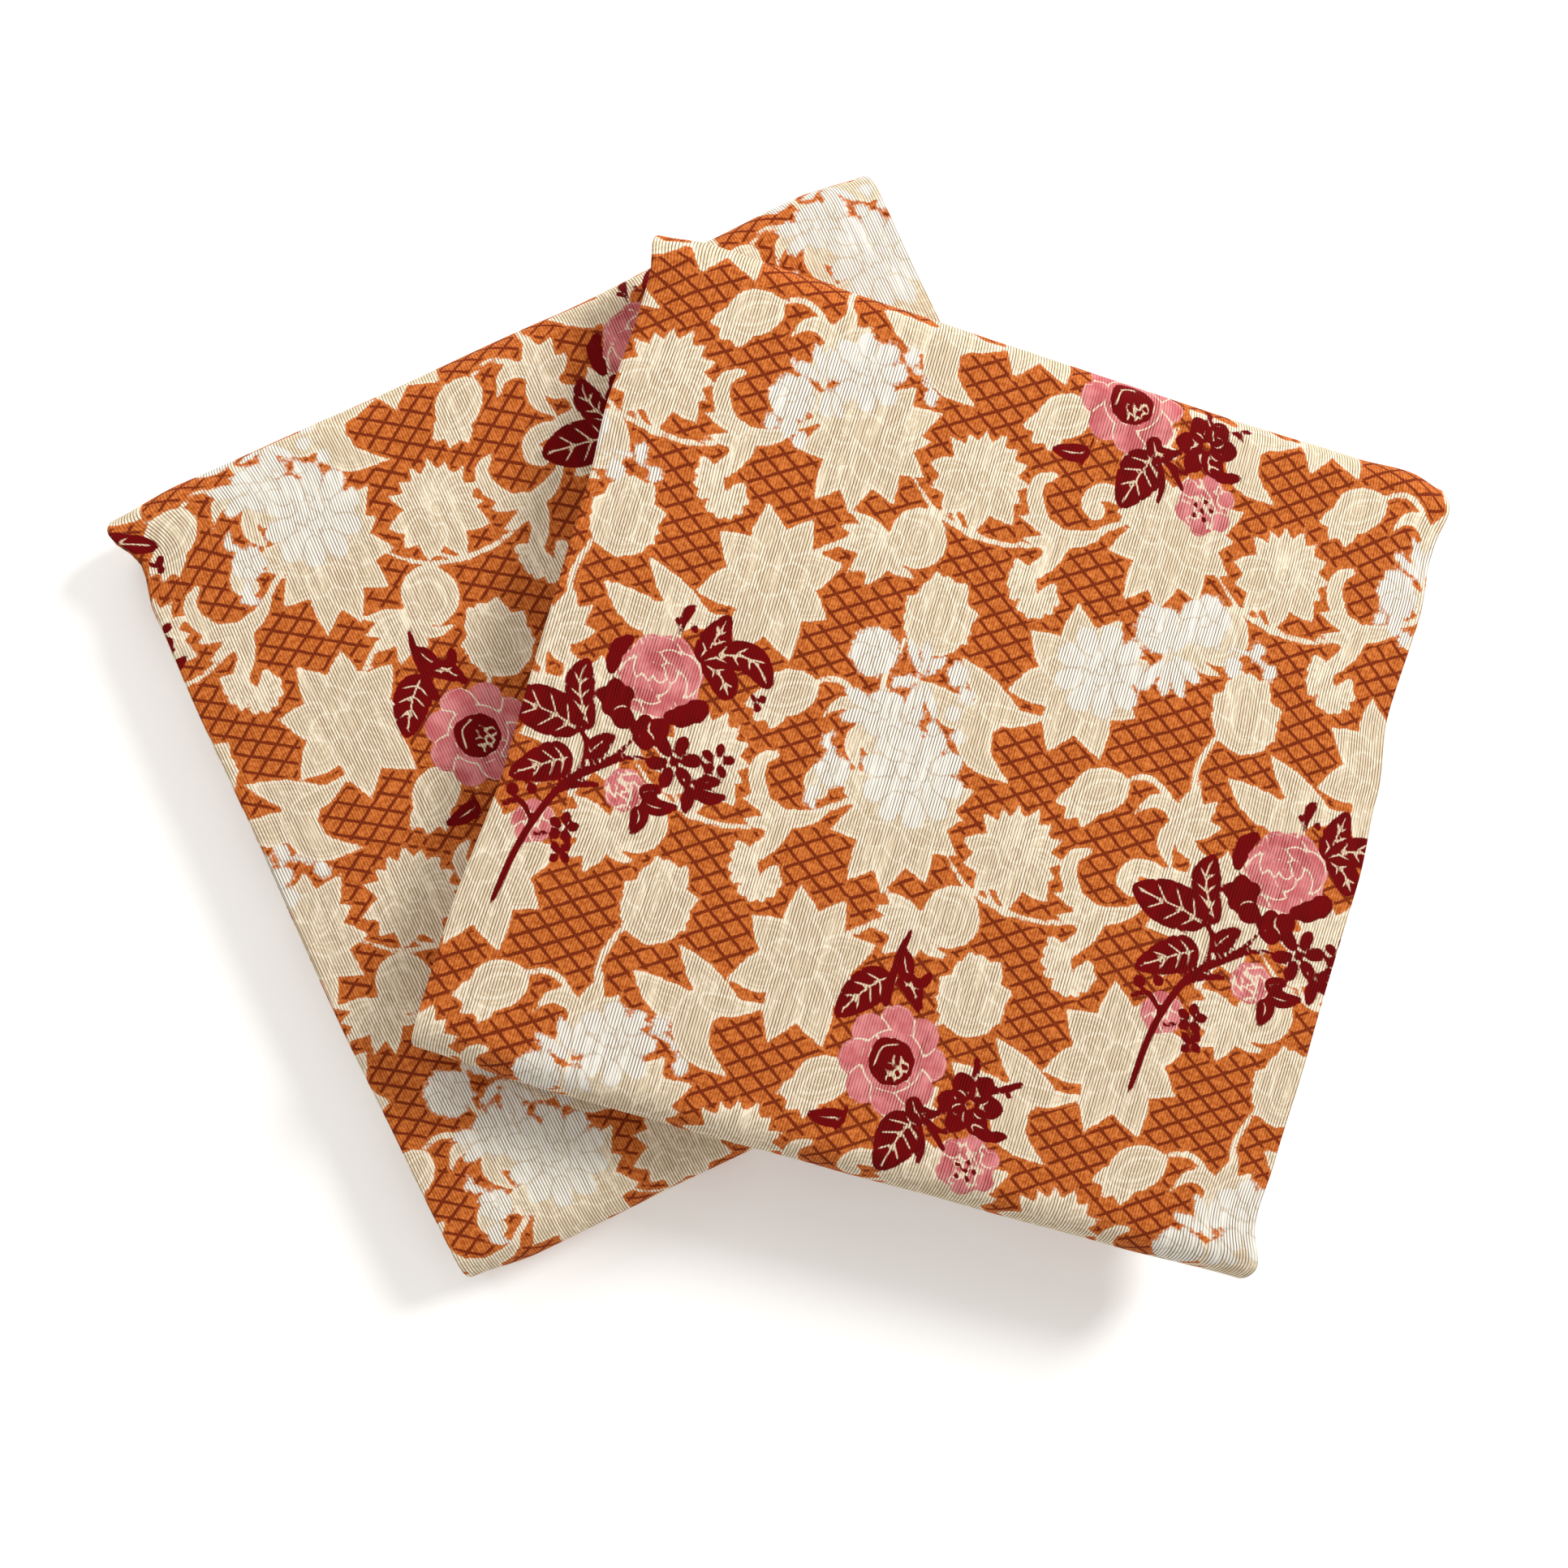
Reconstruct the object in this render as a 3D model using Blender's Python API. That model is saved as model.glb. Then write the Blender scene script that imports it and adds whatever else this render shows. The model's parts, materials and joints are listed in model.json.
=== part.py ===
"""Two mini bolts of printed cloth, stacked crosswise.

Each bolt is one cut of cloth, folded lengthwise in four and wound flat round a
corrugated board. The free end lies underneath. Metres, +Z up, origin under the
middle of the stack's box.
"""

import math

import bmesh
import bpy
from mathutils import Matrix, Vector

# Cloth
PLY = 0.00095  # one layer of the cloth, with the air that stays in it
PLIES = 4  # layers in one turn, as the cloth is folded in four
TURNS = 3  # turns round the board
TOUCHING_GAP = 0.0003  # left between pieces, and between turns, that touch

# Board
LINER = 0.0005  # each flat sheet of the board
FLUTE_HEIGHT = 0.0034  # the fluted sheet, from crest to crest
FLUTE_PITCH = 0.008
FLUTE_SHEET = 0.0004  # its own thickness, measured upright
BOARD_INSET = 0.006  # from the end of the roll to the end of the board

# Lower bolt
LOWER_FOLD_WIDTH = 0.292  # the folded cloth, along the winding axis
LOWER_BOARD_LENGTH = 0.275  # the board, across the winding axis
LOWER_TURNED = math.radians(24.7)

# Upper bolt
UPPER_FOLD_WIDTH = 0.286
UPPER_BOARD_LENGTH = 0.264
UPPER_TURNED = math.radians(-17.1)
UPPER_SHIFT = Vector((0.0945, -0.0122))  # its middle, from the lower bolt's middle

# Mesh fineness
CORNER_STEPS = 7  # steps in each quarter turn of the cloth
FLUTE_STEPS = 6  # steps in each flute

TURN = PLY * PLIES
TURN_PITCH = TURN + TOUCHING_GAP
BOARD_THICKNESS = 2 * LINER + 2 * TOUCHING_GAP + FLUTE_HEIGHT
ROLL_THICKNESS = BOARD_THICKNESS + 2 * TURNS * TURN_PITCH


def clear_scene():
    for thing in list(bpy.data.objects):
        bpy.data.objects.remove(thing, do_unlink=True)


def make_material(name, colour, roughness):
    material = bpy.data.materials.new(name)
    material.use_nodes = True
    shader = material.node_tree.nodes["Principled BSDF"]
    shader.inputs["Base Color"].default_value = (*colour, 1.0)
    shader.inputs["Roughness"].default_value = roughness
    shader.inputs["Metallic"].default_value = 0.0
    return material


def ribbon(name, one_side, other_side, low, high, place):
    """A strip whose two sides are lists of matching points in the plane that
    `place` puts at a distance along the third axis, from `low` to `high`."""
    mesh = bmesh.new()
    rows = [
        [mesh.verts.new(place(point, end)) for point in side]
        for side in (one_side, other_side)
        for end in (low, high)
    ]
    one_low, one_high, other_low, other_high = rows
    walls = ((one_low, one_high), (one_high, other_high), (other_high, other_low), (other_low, one_low))
    for first, second in walls:
        for i in range(len(one_side) - 1):
            mesh.faces.new((first[i], first[i + 1], second[i + 1], second[i]))
    for i in (0, -1):
        mesh.faces.new((one_low[i], one_high[i], other_high[i], other_low[i]))
    bmesh.ops.recalc_face_normals(mesh, faces=mesh.faces)
    data = bpy.data.meshes.new(name)
    mesh.to_mesh(data)
    mesh.free()
    return data


def winding_line(board_length):
    """Points (corner, direction, radius) along the middle of the wound cloth:
    over the board, round its front, back under it, and round its back, where
    each turn climbs over the one before."""
    half_length, half_board = board_length / 2, BOARD_THICKNESS / 2
    line = []
    for turn in range(TURNS):
        radius = TOUCHING_GAP + TURN / 2 + turn * TURN_PITCH
        last = turn == TURNS - 1
        for quarter, (side, level) in enumerate(((-1, 1), (-1, -1), (1, -1), (1, 1))):
            if last and quarter == 2:
                line.append(((half_length, -half_board), math.radians(270), radius))
                break
            for step in range(CORNER_STEPS + 1):
                share = step / CORNER_STEPS
                angle = math.radians(90 * (1 + quarter + share))
                climb = TURN_PITCH * (quarter - 2 + share) / 2 if quarter > 1 else 0.0
                line.append(((side * half_length, level * half_board), angle, radius + climb))
    start = ((half_length, half_board), math.radians(90), TOUCHING_GAP + TURN / 2)
    return [start, *line]


def wound_cloth(name, fold_width, board_length, material):
    line = winding_line(board_length)

    def offset(by):
        return [
            (corner[0] + (radius + by) * math.cos(angle), corner[1] + (radius + by) * math.sin(angle))
            for corner, angle, radius in line
        ]

    data = ribbon(
        name,
        offset(TURN / 2),
        offset(-TURN / 2),
        -fold_width / 2,
        fold_width / 2,
        lambda point, along: (along, *point),
    )
    data.shade_smooth()
    data.set_sharp_from_angle(angle=math.radians(40))
    data.materials.append(material)
    return bpy.data.objects.new(name, data)


def board_liner(name, board_width, board_length, level, material):
    mesh = bmesh.new()
    size = Matrix.Diagonal((board_width, board_length, LINER, 1.0))
    bmesh.ops.create_cube(mesh, size=1.0, matrix=Matrix.Translation((0, 0, level)) @ size)
    data = bpy.data.meshes.new(name)
    mesh.to_mesh(data)
    mesh.free()
    data.materials.append(material)
    return bpy.data.objects.new(name, data)


def board_medium(name, board_width, board_length, material):
    flutes = max(1, round(board_width / FLUTE_PITCH))
    steps = flutes * FLUTE_STEPS
    swing = (FLUTE_HEIGHT - FLUTE_SHEET) / 2

    def side(by):
        return [
            (board_width * (i / steps - 0.5), swing * math.cos(math.tau * i / FLUTE_STEPS) + by)
            for i in range(steps + 1)
        ]

    data = ribbon(
        name,
        side(FLUTE_SHEET / 2),
        side(-FLUTE_SHEET / 2),
        -board_length / 2,
        board_length / 2,
        lambda point, along: (point[0], along, point[1]),
    )
    data.shade_smooth()
    data.set_sharp_from_angle(angle=math.radians(60))
    data.materials.append(material)
    return bpy.data.objects.new(name, data)


def make_bolt(name, fold_width, board_length, middle, level, turned):
    """One bolt on an empty at its middle, which the winding axis goes through along the empty's X."""
    cloth_colour = make_material(f"{name}_printed_cotton", (0.56, 0.17, 0.06), 0.9)
    liner_colour = make_material(f"{name}_kraft_liner", (0.47, 0.32, 0.19), 0.85)
    medium_colour = make_material(f"{name}_kraft_medium", (0.40, 0.26, 0.15), 0.9)

    frame = bpy.data.objects.new(f"{name}_frame", None)
    frame.location = (*middle, level)
    frame.rotation_euler = (0.0, 0.0, turned)
    board_width = fold_width - 2 * BOARD_INSET
    liner_level = (BOARD_THICKNESS - LINER) / 2
    pieces = [
        wound_cloth(f"{name}_wound_cloth", fold_width, board_length, cloth_colour),
        board_liner(f"{name}_board_top_liner", board_width, board_length, liner_level, liner_colour),
        board_medium(f"{name}_board_fluted_medium", board_width, board_length, medium_colour),
        board_liner(f"{name}_board_bottom_liner", board_width, board_length, -liner_level, liner_colour),
    ]
    for piece in (frame, *pieces):
        bpy.context.scene.collection.objects.link(piece)
    for piece in pieces:
        piece.parent = frame


def plan_corners(fold_width, board_length, middle, turned):
    """The four corners of a bolt's outline seen from above."""
    half_x = fold_width / 2
    half_y = board_length / 2 + TURNS * TURN_PITCH
    turn = Matrix.Rotation(turned, 2)
    return [middle + turn @ Vector((x, y)) for x in (-half_x, half_x) for y in (-half_y, half_y)]


def stack():
    lower = Vector((0.0, 0.0))
    corners = plan_corners(LOWER_FOLD_WIDTH, LOWER_BOARD_LENGTH, lower, LOWER_TURNED)
    corners += plan_corners(UPPER_FOLD_WIDTH, UPPER_BOARD_LENGTH, lower + UPPER_SHIFT, UPPER_TURNED)
    middle = Vector(
        [(min(c[axis] for c in corners) + max(c[axis] for c in corners)) / 2 for axis in (0, 1)]
    )
    make_bolt(
        "lower",
        LOWER_FOLD_WIDTH,
        LOWER_BOARD_LENGTH,
        lower - middle,
        ROLL_THICKNESS / 2,
        LOWER_TURNED,
    )
    make_bolt(
        "upper",
        UPPER_FOLD_WIDTH,
        UPPER_BOARD_LENGTH,
        lower + UPPER_SHIFT - middle,
        ROLL_THICKNESS * 1.5 + TOUCHING_GAP,
        UPPER_TURNED,
    )


clear_scene()
stack()
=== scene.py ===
"""Two mini bolts of printed cotton, stacked crosswise.

The cloth of each is folded lengthwise in four, print outwards, and wound flat
round its corrugated board. Metres and +Z up, except for the print, which is
drawn in millimetres, and where a name ends in _MM.
"""

import json
import math

import bpy
import numpy as np
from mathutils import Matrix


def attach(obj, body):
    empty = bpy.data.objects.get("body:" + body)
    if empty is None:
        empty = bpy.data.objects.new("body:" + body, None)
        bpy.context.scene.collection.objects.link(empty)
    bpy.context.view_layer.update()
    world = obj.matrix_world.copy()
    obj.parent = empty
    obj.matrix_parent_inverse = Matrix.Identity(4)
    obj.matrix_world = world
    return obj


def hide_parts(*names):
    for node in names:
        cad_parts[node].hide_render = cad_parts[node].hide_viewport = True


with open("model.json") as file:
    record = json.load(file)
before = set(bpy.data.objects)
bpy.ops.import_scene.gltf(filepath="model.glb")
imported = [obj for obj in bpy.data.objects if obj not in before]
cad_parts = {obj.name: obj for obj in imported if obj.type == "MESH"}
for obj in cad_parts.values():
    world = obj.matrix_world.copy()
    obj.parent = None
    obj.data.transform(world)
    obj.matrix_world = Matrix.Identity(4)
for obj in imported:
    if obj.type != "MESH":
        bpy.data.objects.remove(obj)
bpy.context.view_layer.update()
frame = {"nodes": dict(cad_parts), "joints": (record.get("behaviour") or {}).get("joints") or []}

MM = 0.001

# ---------------------------------------------------------------- sizes

TURNS = 3  # turns of cloth over each board
CLOTH_END = TURNS - 0.5  # the last one stops underneath
PLIES = 4  # layers of cloth in a turn
TURN_GAP = 0.0003  # left between turns, as in the frame
OUTER_PITCHES = (0.0013, 0.0045, 0.0013)  # mesh spacing along the cloth, the same underneath, and across it
INNER_PITCHES = (0.005, 0.010, 0.010)
FOLD_STEPS = 8  # steps round a fold
HIDDEN_COLUMNS = 9  # columns across each layer that the outer one covers
THREAD_MM = 1.0  # between warp threads, drawn coarse enough to show
PICK_MM = 0.6  # between weft threads

# ---------------------------------------------------------------- the print, drawn flat in millimetres

CREAM_REPEAT = np.array([[109.5, 0.0], [47.3, -118.0]])  # the cream flowers' half-drop repeat
ROSE_REPEAT = np.array([[219.0, 0.0], [-14.9, -236.0]])  # the roses' own repeat, four times as large
STAR = np.array([-18.0, 92.0])  # the cream star flower, from the point that the roses are placed from
REACH = 6.0  # how far round a shape its distance is worked out
VEIN_SLANT = 0.2  # how far a vein leads towards the tip, as a share of the leaf
PAST_EDGE = 0.8  # how far a leaf's parts run past its edge, so that no line follows it


def curve(points, steps=7):
    """A smooth line through a few points."""
    points = np.asarray(points, float)
    if len(points) == 2:
        return points[0] + np.linspace(0, 1, 2 * steps)[:, None] * (points[1] - points[0])
    ends = np.vstack([2 * points[0] - points[1], points, 2 * points[-1] - points[-2]])
    t = np.linspace(0, 1, steps, endpoint=False)[:, None]
    runs = []
    for a, b, c, d in zip(ends, ends[1:], ends[2:], ends[3:], strict=False):
        square = a - 2.5 * b + 2 * c - d / 2
        cube = 1.5 * (b - c) + (d - a) / 2
        runs.append(b + t * (c - a) / 2 + t**2 * square + t**3 * cube)
    return np.vstack([*runs, points[-1:]])


def beside(rib):
    """The unit vector across a line, at each of its points."""
    along = np.gradient(rib, axis=0)
    return np.stack([-along[:, 1], along[:, 0]], 1) / np.hypot(*along.T)[:, None]


def taper(count, full, point):
    """Half widths along a leaf or petal: 1 at `full` of its length. A larger `point` is more pointed."""
    t = np.linspace(0, 1, count)
    swell = np.sin(math.pi / 2 * (t / full).clip(0, 1)) ** 0.5
    narrow = np.cos(math.pi / 2 * ((t - full) / (1 - full)).clip(0, 1)).clip(0) ** point
    return swell * narrow


def blade(points, width, full=0.5, point=1.1, teeth=0, bite=0.0):
    """A leaf or petal along a rib. Its teeth take off up to `bite` of the width."""
    rib = curve(points)
    notch = (np.linspace(0, 1, len(rib)) * teeth) % 1.0
    half = width / 2 * taper(len(rib), full, point) * (1 + bite / 2 - bite * notch)
    across = beside(rib)
    return np.vstack([rib + across * half[:, None], (rib - across * half[:, None])[::-1]])


def stem(points, width):
    """A line of even width that narrows to a point at each end, where it runs under something."""
    return blade(points, width, 0.5, 0.12)


def leaf(points, width, veins=5, full=0.42, point=1.0):
    """A whole leaf, then its parts between the veins. The number of veins is odd, so that parts that
    meet have opposite signs in draw."""
    rib = curve(points, 10)
    half = width / 2 * taper(len(rib), full, point)[:, None]
    across = beside(rib)
    parts = [np.vstack([rib + across * half, (rib - across * half)[::-1]])]
    cuts = np.linspace(0, len(rib) - 1, veins + 1)
    lead = VEIN_SLANT * (len(rib) - 1)
    for side in (1, -1):
        edge = rib + side * across * (half + PAST_EDGE)
        for low, high in zip(cuts, cuts[1:], strict=False):
            inner = rib[int(low) : int(high) + 1]
            first = 0 if low == 0 else int(low + lead)
            outer = edge[first : int(high + lead) + 1]
            parts.append(np.vstack([inner, outer[::-1]]))
    return parts


def disc(middle, radius, lobes=0, depth=0.0, tall=1.0):
    """A round shape, with lobes `depth` of the radius deep, or an oval `tall` times as high."""
    angle = np.linspace(0, math.tau, 40, endpoint=False)
    ripple = radius * (1 - depth * (1 - np.abs(np.sin(lobes * angle / 2))))
    return np.stack([middle[0] + ripple * np.cos(angle), middle[1] + tall * ripple * np.sin(angle)], 1)


def rays(middle, tips, width, full=0.55, point=1.1, start=0.0):
    """Petals from one middle out to each tip, given from that middle."""
    middle = np.asarray(middle, float)
    widths = width if np.ndim(width) else [width] * len(tips)
    return [
        blade([middle + start * np.asarray(tip), middle + np.asarray(tip)], w, full, point)
        for tip, w in zip(tips, widths, strict=True)
    ]


def around(count, radius, turned):
    """Tips evenly round a middle, the first `turned` degrees round."""
    angles = np.radians(turned) + np.arange(count) * math.tau / count
    return [(radius * math.cos(a), radius * math.sin(a)) for a in angles]


def blossom(middle, radius, petals=5, turned=90.0, width=1.05, point=0.55, heart=0.22):
    """A small flower of rounded petals round a heart."""
    shapes = rays(middle, around(petals, radius, turned), radius * width, 0.62, point)
    return [*shapes, disc(middle, radius * heart)]


def rose(middle, radius, turned=20.0):
    """A full rose: rounded petals that overlap, smaller towards the heart."""
    x, y = middle
    shapes = [disc(middle, radius, 7, 0.1)]
    petals = ((4, 0.4, 0.52, 0), (4, 0.3, 0.38, 45), (3, 0.16, 0.24, 20), (1, 0.0, 0.13, 0))
    for count, out, size, turn in petals:
        for dx, dy in around(count, out * radius, turned + turn):
            shapes.append(disc((x + dx, y + dy), size * radius))
    return shapes


def sprig(points, width, buds):
    """A twig and the small buds on it."""
    return [stem(points, width), *(disc(bud[:2], bud[2], tall=1.25) for bud in buds)]


def cream_flowers():
    """One repeat of the cream layer, counted from the middle of its star flower."""
    star = rays(
        (0, 0),
        [(-14, 10.5), (-8.5, 14), (-3, 16.5), (4, 17.5), (9.5, 14), (14.5, 9.5), (17, 2.5), (16, -4)],
        6.2,
        0.55,
        1.3,
    )
    star += rays(
        (0, 0),
        [(15, -12), (2.5, -19), (-10, -15.5), (-18.5, 0), (-16, -8)],
        [9.5, 9, 9.5, 8, 8],
        0.55,
    )
    star += [disc((0, 0), 6, 7, 0.2), disc((0.5, 0.5), 2.8)]
    stems = [
        stem([(-24, -5), (-12, -15), (0, -18.5), (14, -19), (30, -14)], 1.7),
        stem([(-7, -13), (0, -19), (6, -19.5)], 1.6),
        stem([(40, -8), (46, -3), (54, 3)], 2.2),
        stem([(-25, -27), (-37, -34), (-49, -44)], 2.0),
        stem([(-5, -52), (-10, -65), (-11.5, -75), (-7, -88)], 2.0),
        stem([(24, 32), (34, 38), (42, 36), (50, 27)], 2.0),
    ]
    acanthus = [
        blade([(25, 9.5), (19.5, 5.5), (19.5, -1), (25, -8), (33, -12)], 5.6, 0.55, 1.2),
        blade([(33, -10), (24, -8.5), (16, -8)], 5.5, 0.4),
        blade([(33, -12), (27, -14), (18, -15.5)], 5, 0.4),
        blade([(25, -10), (34, -10.5), (42, -7), (48.5, 0)], 6, 0.35, 1.2),
        blade([(34, -8), (31, -17), (28, -27)], 7, 0.45, 0.9),
    ]
    fern = [blade([(29, -18), (25.5, -26), (27, -33), (31, -35), (34.5, -31), (33, -28.5)], 6, 0.45, 0.5)]
    left_tips = [(18.5, -23), (18, -27.5), (18.5, -32), (21, -36)]
    right_tips = [(24.5, -39), (29, -40.5), (33, -39.5), (36.5, -36.5), (38, -32), (35.5, -27)]
    for root, tips in (((27, -27), left_tips), ((30, -32), right_tips)):
        fern += [blade([root, tip], 3.6, 0.75, 0.5) for tip in tips]
    lotus = rays(
        (69, 2),
        [
            *[(-11, -27), (1.5, -27.5), (15, -20), (-21, -12), (22, -8), (-22, 2)],
            *[(21, 4), (22, 15), (11, 21), (-1, 21), (-12, 19), (-20, 9)],
        ],
        [11.5, 12, 12, 12, 11, 8, 10, 11, 11, 11, 11, 10],
        0.5,
        1.2,
    )
    inner_tips = [(-9, -15), (3, -17), (13, -9), (13, 4), (8, 13), (-3, 14), (-13, 8), (-14, -3)]
    lotus += rays((69, 3), inner_tips, 9.5, 0.6, 0.9)
    lotus += [disc((69, 3), 6, 6, 0.2)]
    curl = [
        blade([(54, 4), (47, 8.5), (40, 8), (37, 3), (39.5, -1)], 6, 0.4, 0.6),
        disc((40.5, 1.5), 3.2),
    ]
    pod_tips = [(-17, 6), (-19, 0), (-17, -7), (-12, -14.5), (-5, -17.5)]
    pod = [
        *rays((-22, -30), pod_tips, [5, 5.5, 6, 6.5, 6.5], 0.5, 1.2),
        disc((-14.5, -26), 9.5, tall=1.1),
        blade([(-22, -20), (-12, -19), (-7, -26), (-10, -33), (-17, -34)], 5, 0.5, 0.8),
        blade([(-22, -32), (-19, -38), (-10, -39)], 4, 0.45, 1.2),
        disc((-22, -29), 3.2),
    ]
    lily = rays(
        (-57.5, -55),
        [(-8, 25), (8, 24.5), (22, 13), (22, -7), (14, -24), (-4, -27), (-23, -11), (-21, 11)],
        [12.5, 12, 13, 13, 13.5, 13, 13, 13],
        0.52,
        1.2,
    )
    lily += rays((-57.5, -55), [(-1, 15), (12, 6), (9, -13), (-8, -14), (-13, 3)], 9.5, 0.6, 0.9)
    lily += [disc((-57.5, -55), 5.5, 5, 0.2)]
    split_leaf = [
        blade([(37, -75), (24, -69), (11, -59.5)], 9.5, 0.5, 1.1),
        blade([(31, -78), (14, -78), (-1, -71.5)], 11, 0.55, 1.1, teeth=6, bite=0.2),
        blade([(26, -68), (22.5, -80), (26, -90), (39, -96)], 12.5, 0.45, 1.1),
        blade([(22, -74), (33, -74.5), (47, -70)], 6.5, 0.4, 1.2),
    ]
    serrated = [
        blade([(1, -63), (0, -50), (-1, -35)], 22, 0.5, 0.6, teeth=7, bite=0.22),
        *rays((0, -50), [(-12.5, 4), (-5, 15.5), (6, 15), (13, 6), (12, -5)], [9, 9, 9, 8, 8], 0.55),
        blade([(0.5, -58), (0, -48), (-1, -38)], 10, 0.5, 0.9),
    ]
    bud = [
        *rays((20, 28), [(-12, -7), (-7.5, -11.5), (-1, -12.5)], 7, 0.5, 1.1),
        blade([(30.5, 34.5), (21, 29), (12.5, 23)], 15.5, 0.5, 0.7),
        blade([(30, 33.5), (22, 29), (15, 23.5)], 7, 0.5, 0.9),
    ]
    crown = [
        *rays((50, 24), [(3, 18.5), (10.5, 14), (14, 6), (9, -8)], [7.5, 7, 7, 6.5], 0.45, 1.2),
        blade([(52, 22), (46, 31), (39, 31), (34, 24)], 5.5, 0.4, 1.2),
        blade([(51, 30), (47, 20), (51.5, 11)], 6, 0.4, 1.0),
    ]
    return [star, stems, acanthus, fern, lotus, curl, pod, lily, split_leaf, serrated, bud, crown]


def white_roses():
    """One repeat of the white roses: three clusters, each with its blossoms, petals and buds."""
    return [
        # the first cluster
        [*rose((40, 42), 12.5), *rays((40, 42), around(9, 16.5, 10), 7.5, 0.65, 0.6, 0.35)],
        blossom((55, 62), 8.5, turned=60),
        blossom((70, 69), 9.5, turned=20),
        rays((62, 55), [(-9, -16), (0, -15), (7, -14), (12, -7), (-12, 2), (3, 10)], 4.6, 0.6, 0.8, 0.1),
        sprig([(76, 62), (87, 63), (97, 60)], 1.6, [(84, 57, 2.8), (91, 65, 2.4), (97, 59, 2.2)]),
        # the second
        [*rose((-11, -11), 13.5), *rays((-11, -11), around(10, 18, 0), 7.5, 0.65, 0.6, 0.35)],
        blossom((-35, 25), 8.5, 6, turned=30),
        [
            *blossom((-26, 6), 8.5, 6, turned=10),
            *rays((-26, 6), [(-15, 4), (-14, -5), (13, 3), (9, -10)], 5, 0.6, 0.7, 0.3),
        ],
        rays(
            (-17, 22),
            [(-9, 11), (-2, 12), (5, 9), (-3, -16), (2, -17), (8, -13), (-10, -6)],
            3.6,
            0.6,
            0.8,
            0.1,
        ),
        [disc((-6, 26), 3.8, 5, 0.2, tall=1.2), disc((-1, 20), 3, 5, 0.2)],
        [disc((-4, 13), 2.8), disc((0, 6), 2.4), disc((-9, 6), 2.4)],
        [
            *blossom((-37, -17), 6, 5, turned=50),
            blade([(-39, -22), (-42, -28), (-37, -31)], 4),
            blade([(-38, -12), (-42, -8), (-40, -4)], 3),
        ],
        # the third
        [*rose((-65, 114), 10.5), *rays((-65, 114), around(8, 14, 15), 6.5, 0.65, 0.6, 0.35)],
        blossom((-86, 98), 8, 6, turned=10),
        rays((-76, 106), [(-8, 12), (-1, 13), (-14, 4), (8, -10), (2, -12)], 4, 0.6, 0.8, 0.1),
        sprig([(-58, 119), (-50, 121), (-41, 114)], 1.6, [(-52, 124, 2.6), (-42, 113, 2.4)]),
        [disc((-84, 88), 2.8, tall=1.25), disc((-90, 88), 2.2, tall=1.25), disc((-79, 85), 2.2, tall=1.25)],
    ]


def pink_roses():
    """One repeat of the pink roses. The crimson layer is drawn over them."""
    return [
        rose((-101.3, -4.5), 14.8),
        rose((-102.3, -43.5), 7.3, 50),
        blossom((-128, -62), 7.5, turned=40, heart=0.3),
        blossom((9.5, -102.5), 18.5, 8, 10, 0.66, 0.4, 0.55),
        [*rose((43.5, -129), 9.5, 80), *rays((43.5, -129), around(6, 11, 30), 6, 0.7, 0.4, 0.4)],
    ]


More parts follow.
